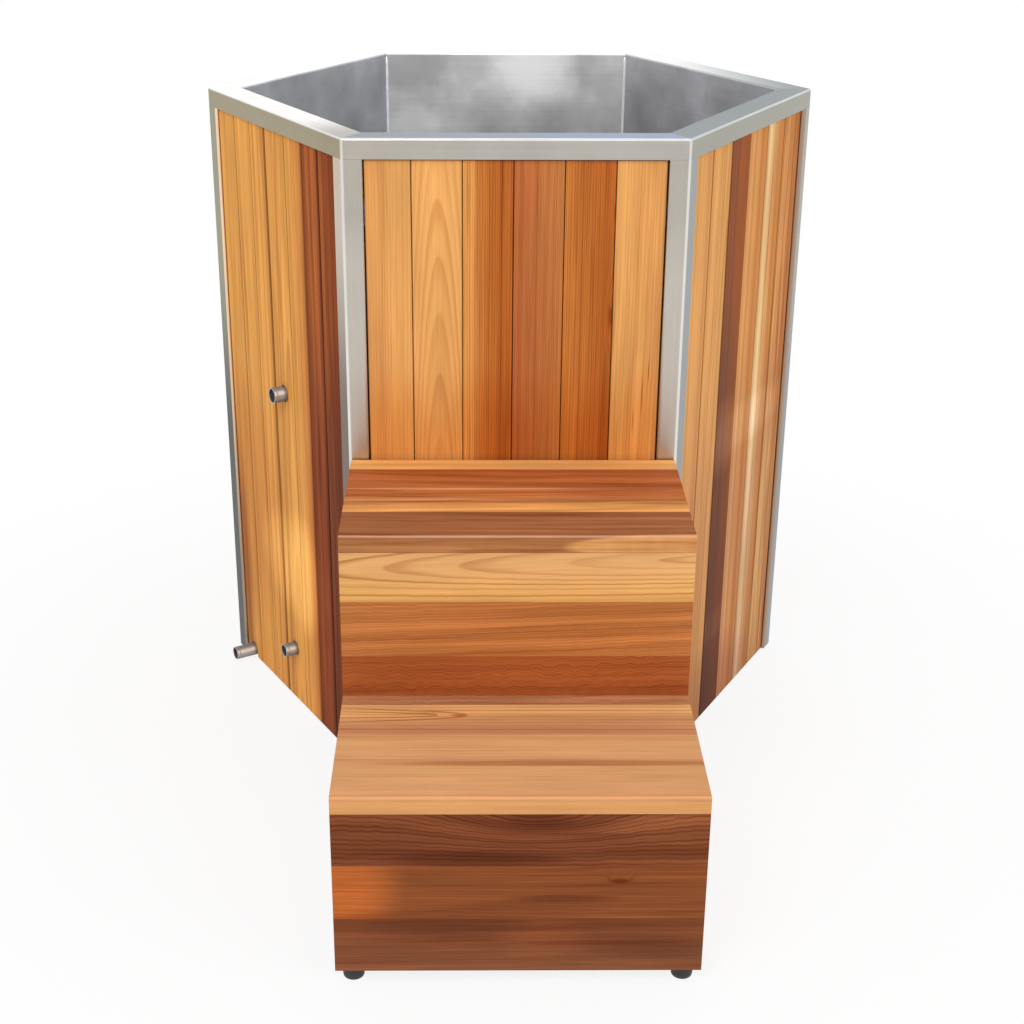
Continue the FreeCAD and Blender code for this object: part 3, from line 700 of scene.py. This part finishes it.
# Pale streaks, then the pale right end, a dark streak and the front board's top edge, lighter as worn and as
# its painted highlight
UPPER_TREAD_PATCHES = [
    Patch(1, (-0.599, -0.06), (0.007, 0.26), 0.9, (0.82, 0.42, 0.20), 0.7),
    Patch(1, (-0.647, -0.12), (0.006, 0.20), 0.9, (0.80, 0.36, 0.16), 0.7),
    Patch(0, (UPPER_NOSE, 0.300, 0.576), (0.012, 0.220, 0.020), 0.25, (0.66, 0.300, 0.115), 0.95),
    Patch(0, (UPPER_NOSE, -0.02, 0.569), (0.012, 0.095, 0.004), 0.8, (0.30, 0.085, 0.025), 0.7),
    # Painted highlight along the front board's top edge, also standing for wear
    Patch(0, (UPPER_NOSE, 0, UPPER_TOP), (0.0032, 0, 0.0030), 0.7, (0.62, 0.45, 0.34), 0.4),
]
UPPER_TREAD_FRONT = Tint(0, (0, 0, 0.574), (0, 0, 0.0155), (1.20, 1.36, 1.26), 0.5)
LOWER_TREAD_KNOT = Knot(2, -0.8475, -0.088, 0.006, 0.020, 3, 1.5)
LOWER_TREAD_ARCHES = [
    Arch(2, -0.8475, -0.074, 1, 0.0022, 18),
    Arch(2, -0.8470, -0.120, 1, 0.0007, 4),
]
LOWER_TREAD_STREAK = Patch(1, (-0.986, 0.07), (0.009, 0.29), 0.8, (0.43, 0.160, 0.055), 0.8)
LOWER_TREAD_FRONT = Tint(0, (0, 0, 0.300), (0, 0, 0.0160), (1.27, 1.30, 1.10), 0.5)


def step_boards(name, axes, edges, boards, **details):
    dress(cedar(f"cedar_{name}", axes, edges, boards, **details), f"{name}_boards")


step_boards("upper_riser", RISER_AXES, UPPER_ROWS, UPPER_RISER_BOARDS, seed=211.0)
step_boards(
    "lower_riser",
    RISER_AXES,
    LOWER_ROWS,
    LOWER_RISER_BOARDS,
    knots=LOWER_RISER_KNOTS,
    patches=[LOWER_RISER_SUN],
    tints=LOWER_RISER_TINTS,
    seed=241.0,
)
step_boards(
    "upper_tread",
    TREAD_AXES,
    UPPER_TREAD,
    UPPER_TREAD_BOARDS,
    patches=UPPER_TREAD_PATCHES,
    tints=[UPPER_TREAD_FRONT],
    nose=(UPPER_NOSE, UPPER_TOP),
    seed=271.0,
)
step_boards(
    "lower_tread",
    TREAD_AXES,
    LOWER_TREAD,
    LOWER_TREAD_BOARDS,
    knots=[LOWER_TREAD_KNOT],
    arches=LOWER_TREAD_ARCHES,
    patches=[LOWER_TREAD_STREAK],
    tints=[LOWER_TREAD_FRONT],
    nose=(LOWER_NOSE, LOWER_TOP),
    seed=307.0,
)
side_rows = (*LOWER_ROWS, *UPPER_ROWS[1:])
left_boards = [LOWER_RISER_BOARDS[1], LOWER_TREAD_BOARDS[2], UPPER_TREAD_BOARDS[1]]
left_boards += [UPPER_RISER_BOARDS[1], LOWER_TREAD_BOARDS[0], UPPER_RISER_BOARDS[0]]
right_boards = [UPPER_RISER_BOARDS[0], UPPER_RISER_BOARDS[2], LOWER_TREAD_BOARDS[1]]
right_boards += [LOWER_RISER_BOARDS[1], UPPER_TREAD_BOARDS[2], LOWER_TREAD_BOARDS[2]]
for hand, boards, seed in (("left", left_boards, 453.0), ("right", right_boards, 482.0)):
    material = cedar(f"cedar_side_{hand}", (UP, RIGHT, REARWARD), side_rows, boards, seed=seed)
    dress(material, f"step_side_boards_{hand}")

# Frame bars inside the step unit, one board each way
FRAME_BOARD = [("toffee", "caramel", Grain(120, 40, 0.008, 4.0, 0.6))]
FRAME_WIDTH = (-0.3, 0.3)
FRAME_HEIGHT = (0, 0.6)
upright = cedar("cedar_upright", (RIGHT, REARWARD, UP), FRAME_WIDTH, FRAME_BOARD, seed=401.0)
lengthwise = cedar("cedar_lengthwise", (RIGHT, UP, REARWARD), FRAME_WIDTH, FRAME_BOARD, seed=431.0)
crosswise = cedar("cedar_crosswise", RISER_AXES, FRAME_HEIGHT, FRAME_BOARD, seed=461.0)
dress(upright, "step_front_posts", "step_mid_posts", "step_rear_posts")
dress(lengthwise, "lower_tread_bearers", "upper_tread_bearers")
dress(crosswise, "step_back_rails")

# How far from the middle of the tub a post's ground corner, painted lighter as its highlight, begins and is
# full
POST_CORNER = (0.5431, 0.5439)


# Parts of a steel piece, as functions that give 1 inside the part and 0 outside it
def fade(axis, start, full, low=0.0, high=1.0):
    """Grows from low at one place along an axis to high at another."""
    return lambda g: g.span(g.place_on(axis), start, full, low, high)


def close_to(axis, middle, start, full, high=1.0):
    """Grows from nothing at one distance from a place on an axis to high at a smaller one."""

    def share(g):
        distance = g.math("ABSOLUTE", g.apart(g.place_on(axis), middle))
        return g.span(distance, start, full, 0.0, high)

    return share


def both(first, second):
    return lambda g: g.times(first(g), second(g))


def rim_edges(side):
    """Ground outer edge of the rim and its corners, for one side of the tub, painted lighter as their
    highlight.
    """

    def wear_and_highlight(g):
        along = g.math("ABSOLUTE", g.place_on(across_of(side)))
        out = g.scaled(g.place_on(outward_of(side)), -1.0, RIM_FACE)
        down = g.scaled(g.place_on(UP), -1.0, TUB_HEIGHT)
        edge = g.span(g.plus(out, down), 0.0038, 0.0025)
        at_corner = g.span(along, RIM_CORNER - 0.0036, RIM_CORNER - 0.0020)
        return g.math("MAXIMUM", edge, g.times(at_corner, g.span(out, 0.004, 0.002)))

    return wear_and_highlight


def post_edges(g):
    """Ground corner of a post, painted lighter as its highlight: the part that lies furthest from the middle
    of the tub.
    """
    from_middle = g.math("SQRT", g.squares(g.place_on(RIGHT), g.place_on(REARWARD)))
    return g.span(from_middle, *POST_CORNER)


def inside_of(side):
    return fade(outward_of(side), TANK_FACE + 0.0030, TANK_FACE + 0.0004)


def stain_of(side, low, high):
    """Cloudy marks on the inside of one wall, where a noise lies between two levels."""
    return both(inside_of(side), lambda g: g.span(g.noise(g.place, (9, 9, 9), 3.0, 0.55), low, high))


def painted_reflection_of(side, at, reach, amount):
    """Painted reflection on the inside of one wall, brighter or darker by its tone, fading out from its
    middle.
    """

    def share(g):
        square = g.scaled(g.noise(g.place, (14, 14, 14), 4.0, 0.6), 1.6, -0.8)
        for axis, where, size in zip((across_of(side), UP), at, reach):
            square = g.plus(square, g.squares(g.apart(g.place_on(axis), where, size)))
        return g.span(square, 1.3, 0.0, 0.0, amount)

    return both(inside_of(side), share)


# Rim tops, painted with the reflections on them: all, at the right corner, at the front left side's front
# end, and where the front mirrors sky
top = fade(UP, TUB_HEIGHT - 0.0030, TUB_HEIGHT - 0.0008)
right_end = both(top, fade(RIGHT, 0.26, 0.56))
front_end = both(top, fade(across_of("front_left"), 0.08, 0.25))
sky_end = both(top, fade(RIGHT, -0.22, 0.24))
# Posts, with painted light and shade: faces to the front, the left one's inner edge with a painted highlight
# and its shaded face, the right one in painted shade beside its boards
to_front = fade(REARWARD, 0.0030 - RIM_FACE, 0.0008 - RIM_FACE)
to_front_low = both(to_front, fade(UP, 1.02, 0.90))
inner_edge_highlight = both(fade(across_of("front_left"), -0.2446, -0.2428), fade(UP, 0.05, 0.85, 0.30, 1.0))
shaded_low_leg = fade(UP, 0.85, 0.45)
shaded_leg = both(fade(outward_of("front_left"), RIM_FACE - 0.0040, RIM_FACE - 0.0015), shaded_low_leg)
shade_beside_boards = fade(across_of("front_right"), 0.2570, 0.2500)

# Rim face and rim top of each side, painted with the light and reflections that fall on each; the ones in
# sun are the brightest
RIM_TONES = {
    "front": ((0.49, 0.455, 0.400), (0.25, 0.275, 0.31)),
    "front_right": ((0.38, 0.37, 0.310), (0.195, 0.232, 0.237)),
    "front_left": ((0.36, 0.305, 0.195), (0.92, 0.91, 0.89)),
}
# Other sides: a plain face, and a top painted white with glare
RIM_PLAIN = ((0.45, 0.43, 0.39), (0.96, 0.96, 0.95))
# Inside of the walls, painted with light and shade: the back one brightest, the back left and back right
# ones darker
INSIDE = {"back": (0.76, 0.76, 0.76), "back_left": (0.60, 0.61, 0.64), "back_right": (0.59, 0.59, 0.61)}
INSIDE_PLAIN = (0.70, 0.70, 0.70)
# Roughness of the rim, the posts, the tank's inside, plain sheet and pipes
RIM_ROUGH = 0.36
POST_ROUGH = 0.38
INSIDE_ROUGH = 0.47
SHEET_ROUGH = 0.42
PIPE_ROUGH = 0.28
# Painted reflections: sky on the front rim top, duller tops at the front left rim's front end and the back
# right rim's right corner, and places inside the back wall
RIM_EXTRAS = {
    "front": [(sky_end, (0.25, 0.315, 0.43))],
    "front_left": [(front_end, (0.46, 0.43, 0.39))],
    "back_right": [(right_end, RIM_TONES["front_right"][1])],
    "back": [
        # Inside the back wall: a painted darker reflection, then two painted glares
        (painted_reflection_of("back", (0.20, 1.10), (0.085, 0.055), 0.9), (0.56, 0.56, 0.57)),
        (painted_reflection_of("back", (-0.05, 1.095), (0.11, 0.080), 1.0), (1.0, 1.0, 1.0), 0.50),
        (painted_reflection_of("back", (0.19, 0.985), (0.075, 0.045), 0.7), (0.97, 0.97, 0.97), 0.42),
    ],
}
for side in SIDES:
    face_tone, top_tone = RIM_TONES.get(side, RIM_PLAIN)
    inner_tone = INSIDE.get(side, INSIDE_PLAIN)
    zones = [
        (top, top_tone),
        (inside_of(side), inner_tone, INSIDE_ROUGH),
        (stain_of(side, 0.45, 0.75), [value * 0.80 for value in inner_tone]),
        (stain_of(side, 0.50, 0.28), [value * 1.20 for value in inner_tone]),
    ]
    zones += RIM_EXTRAS.get(side, [])
    across = across_of(side)
    material = steel(f"steel_{side}", across, face_tone, RIM_ROUGH, 0.14, rim_edges(side), zones)
    dress(material, f"tank_side_{side}")
    dress(steel(f"sill_{side}", across, (0.50, 0.50, 0.50), SHEET_ROUGH, 0.14), f"base_sill_{side}")

# Corner posts, painted with light and shade: front faces above and lighter below, then the side face of each
# front post above and darker below
POST_TONE = (0.47, 0.44, 0.385)
POST_LOW_TONE = (0.56, 0.515, 0.455)
SIDE_TONES = {
    "front_left": ((0.60, 0.53, 0.43), (0.20, 0.155, 0.125)),
    "front_right": ((0.37, 0.37, 0.355), (0.34, 0.35, 0.345)),
}
LEFT_ZONES = [
    (shaded_leg, (0.085, 0.085, 0.080)),
    (inner_edge_highlight, (0.90, 0.68, 0.48), 0.34),
]
RIGHT_ZONES = [
    (shaded_low_leg, (0.29, 0.33, 0.35)),
    (shade_beside_boards, (0.36, 0.24, 0.165)),
]


def post(name, tone, edge, zones=()):
    return steel(name, UP, tone, POST_ROUGH, 0.12, edge, zones)


dress(post("steel_post", POST_TONE, post_edges), "corner_post_back_right", "corner_post_back_left")
for corner, (tone, low_tone) in SIDE_TONES.items():
    zones = [
        (fade(UP, 1.0, 0.65), low_tone),
        (to_front, POST_TONE),
        (to_front_low, POST_LOW_TONE),
    ]
    dress(post(f"steel_{corner}_post", tone, post_edges, zones), f"corner_post_{corner}")
# The left post painted darker for the dark surroundings it mirrors
dress(post("steel_left_post", (0.34, 0.32, 0.225), None, LEFT_ZONES), "corner_post_left")
dress(post("steel_right_post", (0.45, 0.42, 0.37), None, RIGHT_ZONES), "corner_post_right")

# Stubs: (name, place along the front left side, height, radius, end)
STUBS = [
    ("return_stub", 0.0, 0.625, 0.0143, BOARD_FACE + 0.0243),
    ("suction_stub", 0.0, 0.112, 0.0127, BOARD_FACE + 0.0243),
    ("drain_stub", -0.2065, 0.016, 0.0127, BOARD_FACE + 0.0424),
]
PIPE_METAL = 0.15
GROOVE_FROM_END = 0.006


def pipe(name, offset, height, radius, end):
    """Stub on the front left side: turned round, with painted shade on its underside, crown, bore and root
    at the boards, a painted highlight band and a brighter lit end.
    """
    outward = outward_of("front_left")
    across = across_of("front_left")

    def shaded_bore(g):
        aside = g.apart(g.place_on(across), offset)
        rise = g.apart(g.place_on(UP), height)
        return g.span(g.math("SQRT", g.squares(aside, rise)), radius - 0.0006, radius - 0.0011)

    # Painted light and shade: dark underside and crown, a highlight band, shade at the boards and in the
    # bore, a lit lip
    shaded_underside = fade(UP, height, height - 0.75 * radius)
    dark_reflection_crown = fade(UP, height + 0.72 * radius, height + 0.95 * radius)
    highlight_band = close_to(UP, height + 0.45 * radius, 0.36 * radius, 0.10 * radius)
    shaded_root = fade(outward, BOARD_FACE + 0.0085, BOARD_FACE + 0.0015, 0.0, 0.8)
    groove = close_to(outward, end - GROOVE_FROM_END, 0.0016, 0.0006, 0.7)
    lit_lip = fade(outward, end - 0.0012, end - 0.0004)
    zones = [
        (shaded_underside, (0.16, 0.15, 0.145)),
        (dark_reflection_crown, (0.26, 0.27, 0.28)),
        (highlight_band, (0.95, 1.0, 1.0), 0.24),
        (shaded_root, (0.17, 0.155, 0.145), 0.30),
        (groove, (0.34, 0.35, 0.36), 0.30),
        (shaded_bore, (0.10, 0.10, 0.10), 0.45),
        (lit_lip, (0.46, 0.48, 0.50), 0.30),
    ]
    return steel(f"steel_{name}", across, (0.42, 0.47, 0.52), PIPE_ROUGH, zones=zones, metal=PIPE_METAL)


for stub in STUBS:
    dress(pipe(*stub), stub[0])

flat_steel = steel("steel_flat", RIGHT, (0.66, 0.66, 0.66), SHEET_ROUGH, 0.14)
dress(flat_steel, "tank_floor", "floor_bearers", "drain_sump", "drain_strainer")
dress(flat_steel, "cladding_rails_low", "cladding_rails_middle", "cladding_rails_top")
screw_steel = steel("steel_screw", UP, (0.62, 0.61, 0.60), 0.30)
dress(screw_steel, "cladding_screws", "tread_screws", "step_board_screws", "foot_screws", "foot_washers")


def foam():
    """Rigid insulation foam: pale, with fine cells."""
    g = Surface("foam_board")
    cells = g.add("ShaderNodeTexVoronoi", feature="F1")
    g.put(cells.inputs["Vector"], g.place)
    cells.inputs["Scale"].default_value = 900.0
    cloud = g.noise(g.place, (14, 14, 14), 3.0)
    pitted = g.span(cells.outputs["Distance"], 0.1, 0.7)
    colour = g.mix(pitted, solid((0.62, 0.55, 0.42)), solid((0.78, 0.72, 0.58)))
    colour = g.lift(colour, g.scaled(cloud, 0.3, 0.85))
    return g.finish(colour, g.scaled(cloud, 0.1, 0.85), pitted, strength=0.4, depth=0.0006)


def rubber():
    """Black rubber with a dusty bloom, greyer towards the floor."""
    g = Surface("rubber_foot")
    grit = g.noise(g.place, (700, 700, 700), 3.0, 0.7)
    bloom = g.noise(g.place, (60, 60, 60), 3.0)
    scuff = g.times(g.span(g.place_on(UP), 0.010, 0.0), g.scaled(bloom, 0.8))
    dust = g.plus(g.scaled(bloom, 0.3), scuff)
    colour = g.mix(dust, solid((0.016, 0.016, 0.017)), solid((0.060, 0.058, 0.055)))
    colour = g.lift(colour, g.scaled(grit, 0.5, 0.75))
    return g.finish(colour, g.scaled(grit, 0.25, 0.5), grit, strength=0.3, depth=0.0004)


dress(foam(), "wall_insulation", "floor_insulation")
corners = ("front_left", "front_right", "rear_left", "rear_right")
dress(rubber(), *[f"rubber_foot_{corner}" for corner in corners])

# Welds inside the tank: a low crowned bead in each corner and round the floor, with sizes in metres
WALL_WELD_LEG = 0.0036
FLOOR_WELD_LEG = 0.0034
WELD_CROWN = 0.0004
WELD_STEP = 0.004
WELD_FACETS = 6
WELD_END_GAP = 0.004
WELD_TOP_GAP = 0.007


def bead(mesh, start, end, first, second, leg):
    """Closed bead from start to end in the corner between two walls that leave it along first and second."""
    length = (end - start).length
    along = (end - start) / length
    count = max(2, round(length / WELD_STEP))
    rings = []
    for step in range(count + 1):
        # The bead ripples a little and is thinner at both ends
        swell = 1.0 + 0.05 * math.sin(step * 1.9) + 0.04 * math.sin(step * 0.73 + 1.0)
        swell *= min(1.0, 0.35 + 0.22 * min(step, count - step))
        corner = start + along * (length * step / count)
        left = corner + first * (leg * swell)
        right = corner + second * (leg * swell)
        out = (first + second).normalized() * WELD_CROWN
        points = [corner]
        for number in range(WELD_FACETS + 1):
            share = number / WELD_FACETS
            points.append(left.lerp(right, share) + out * (4 * share * (1 - share) * swell))
        rings.append([mesh.verts.new(point) for point in points])
    for ring, after in zip(rings[:-1], rings[1:]):
        for number in range(len(ring)):
            other = (number + 1) % len(ring)
            face = mesh.faces.new((ring[number], ring[other], after[other], after[number]))
            face.smooth = 0 < number <= WELD_FACETS
    mesh.faces.new(rings[0][::-1])
    mesh.faces.new(rings[-1])


def tank_corner(number):
    radius = TANK_FACE / math.cos(math.radians(30))
    angle = math.radians(60 * number)
    return Vector((radius * math.cos(angle), radius * math.sin(angle), 0))


def tank_welds():
    mesh = bmesh.new()
    up = Vector(UP)
    for number in range(len(SIDES)):
        corner = tank_corner(number)
        following = tank_corner(number + 1)
        before = tank_corner(number - 1)
        left = (following - corner).normalized()
        right = (before - corner).normalized()
        low = corner + up * (FLOOR_TOP + WELD_END_GAP)
        high = corner + up * (TUB_HEIGHT - WELD_TOP_GAP)
        bead(mesh, low, high, left, right, WALL_WELD_LEG)
        inward = -((corner + following) / 2).normalized()
        floor_start = corner + left * WELD_END_GAP + up * FLOOR_TOP
        floor_end = following - left * WELD_END_GAP + up * FLOOR_TOP
        bead(mesh, floor_start, floor_end, inward, up, FLOOR_WELD_LEG)
    bmesh.ops.recalc_face_normals(mesh, faces=mesh.faces)
    piece = mesh_piece("tank_welds", mesh)
    give(steel("steel_weld", UP, (0.97, 0.97, 0.97), 0.58, 0.08), piece)
    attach(piece, "tub")


tank_welds()

# Stage: a wide pale floor, soft lamps and a white surround
FLOOR_RADIUS = 30.0
FLOOR_DROP = 0.0005
FLOOR_COLOUR = (0.93, 0.93, 0.93)
SHADOW_MIDDLE = -0.35
SHADOW_REACH = (0.8, 1.7)
SURROUND_LIGHT = 0.62
WHITE = (1, 1, 1, 1)


def stage_floor():
    """Pale floor that goes over into white away from the object and keeps its shadow near it."""
    mesh = bmesh.new()
    bmesh.ops.create_circle(mesh, cap_ends=True, radius=FLOOR_RADIUS, segments=96)
    floor = mesh_piece("stage_floor", mesh)
    floor.location.z = -FLOOR_DROP
    g = Surface("stage_floor")
    grain = g.noise(g.place, (3, 3, 3))
    g.put(g.shader.inputs["Base Color"], g.lift(FLOOR_COLOUR, g.scaled(grain, 0.02, 0.99)))
    g.shader.inputs["Roughness"].default_value = 0.9
    g.shader.inputs["Specular IOR Level"].default_value = 0.0
    back = g.apart(g.place_on(REARWARD), SHADOW_MIDDLE)
    far = g.math("SQRT", g.squares(g.place_on(RIGHT), back))
    white = g.add("ShaderNodeEmission")
    white.inputs["Color"].default_value = WHITE
    white.inputs["Strength"].default_value = 1.0
    share = g.times(g.seen_directly(), g.span(far, *SHADOW_REACH, 0.86, 1.0))
    shown = g.blend(share, g.shader.outputs["BSDF"], white.outputs["Emission"])
    g.put(g.out.inputs["Surface"], shown)
    give(g.material, floor)


def surround():
    """World that looks white and gives a softer light of its own."""
    world = bpy.data.worlds.new("surround")
    bpy.context.scene.world = world
    world.use_nodes = True
    g = Graph(world.node_tree)
    seen = g.add("ShaderNodeBackground")
    light = g.add("ShaderNodeBackground")
    out = g.add("ShaderNodeOutputWorld")
    for node, strength in ((seen, 1.0), (light, SURROUND_LIGHT)):
        node.inputs["Color"].default_value = WHITE
        node.inputs["Strength"].default_value = strength
    shown = g.blend(g.seen_directly(), light.outputs[0], seen.outputs[0])
    g.put(out.inputs["Surface"], shown)


# Lamps: name, place, what it points at, size in metres, power in watts
LAMPS = [
    ("key", (-1.8, -3.6, 4.4), (0, -0.4, 0.6), (2.4, 2.4), 85),
    ("fill", (3.0, -2.8, 3.0), (0, -0.3, 0.6), (2.4, 2.4), 40),
    ("top", (0.4, 1.6, 4.6), (0, 0, 0.8), (2.6, 2.0), 25),
]


def lamp(name, place, target, size, power):
    data = bpy.data.lights.new(name, "AREA")
    data.shape = "RECTANGLE"
    data.size, data.size_y = size
    data.energy = power
    piece = new_piece(name, data)
    piece.location = place
    piece.rotation_euler = (Vector(target) - Vector(place)).to_track_quat("-Z", "Y").to_euler()


# Camera fitted to the photo: place in metres, turns in radians, lens in pixels of the picture
CAMERA_PLACE = (-0.06894, -3.11887, 1.64061)
CAMERA_YAW = 0.0108
CAMERA_PITCH = 0.4007
CAMERA_ROLL = 0.0045
PICTURE_SIZE = 1024
FOCAL_LENGTH = 1702.8
VIEW_MIDDLE = (488.67, 499.86)
SENSOR_MM = 36.0


def camera():
    level = math.cos(CAMERA_PITCH)
    ahead = Vector((math.sin(CAMERA_YAW) * level, math.cos(CAMERA_YAW) * level, -math.sin(CAMERA_PITCH)))
    right = Vector((math.cos(CAMERA_YAW), -math.sin(CAMERA_YAW), 0))
    up = right.cross(ahead)
    tilted_right = right * math.cos(CAMERA_ROLL) + up * math.sin(CAMERA_ROLL)
    tilted_up = up * math.cos(CAMERA_ROLL) - right * math.sin(CAMERA_ROLL)
    data = bpy.data.cameras.new("camera")
    data.sensor_width = SENSOR_MM
    data.lens = SENSOR_MM * FOCAL_LENGTH / PICTURE_SIZE
    data.shift_x = (PICTURE_SIZE / 2 - VIEW_MIDDLE[0]) / PICTURE_SIZE
    data.shift_y = (VIEW_MIDDLE[1] - PICTURE_SIZE / 2) / PICTURE_SIZE
    data.clip_start = 0.05
    data.clip_end = 200.0
    piece = new_piece("camera", data)
    turn = Matrix((tilted_right, tilted_up, -ahead)).transposed().to_4x4()
    piece.matrix_world = Matrix.Translation(CAMERA_PLACE) @ turn
    bpy.context.scene.camera = piece


stage_floor()
surround()
for row in LAMPS:
    lamp(*row)
camera()
bpy.context.scene.view_settings.view_transform = "Standard"
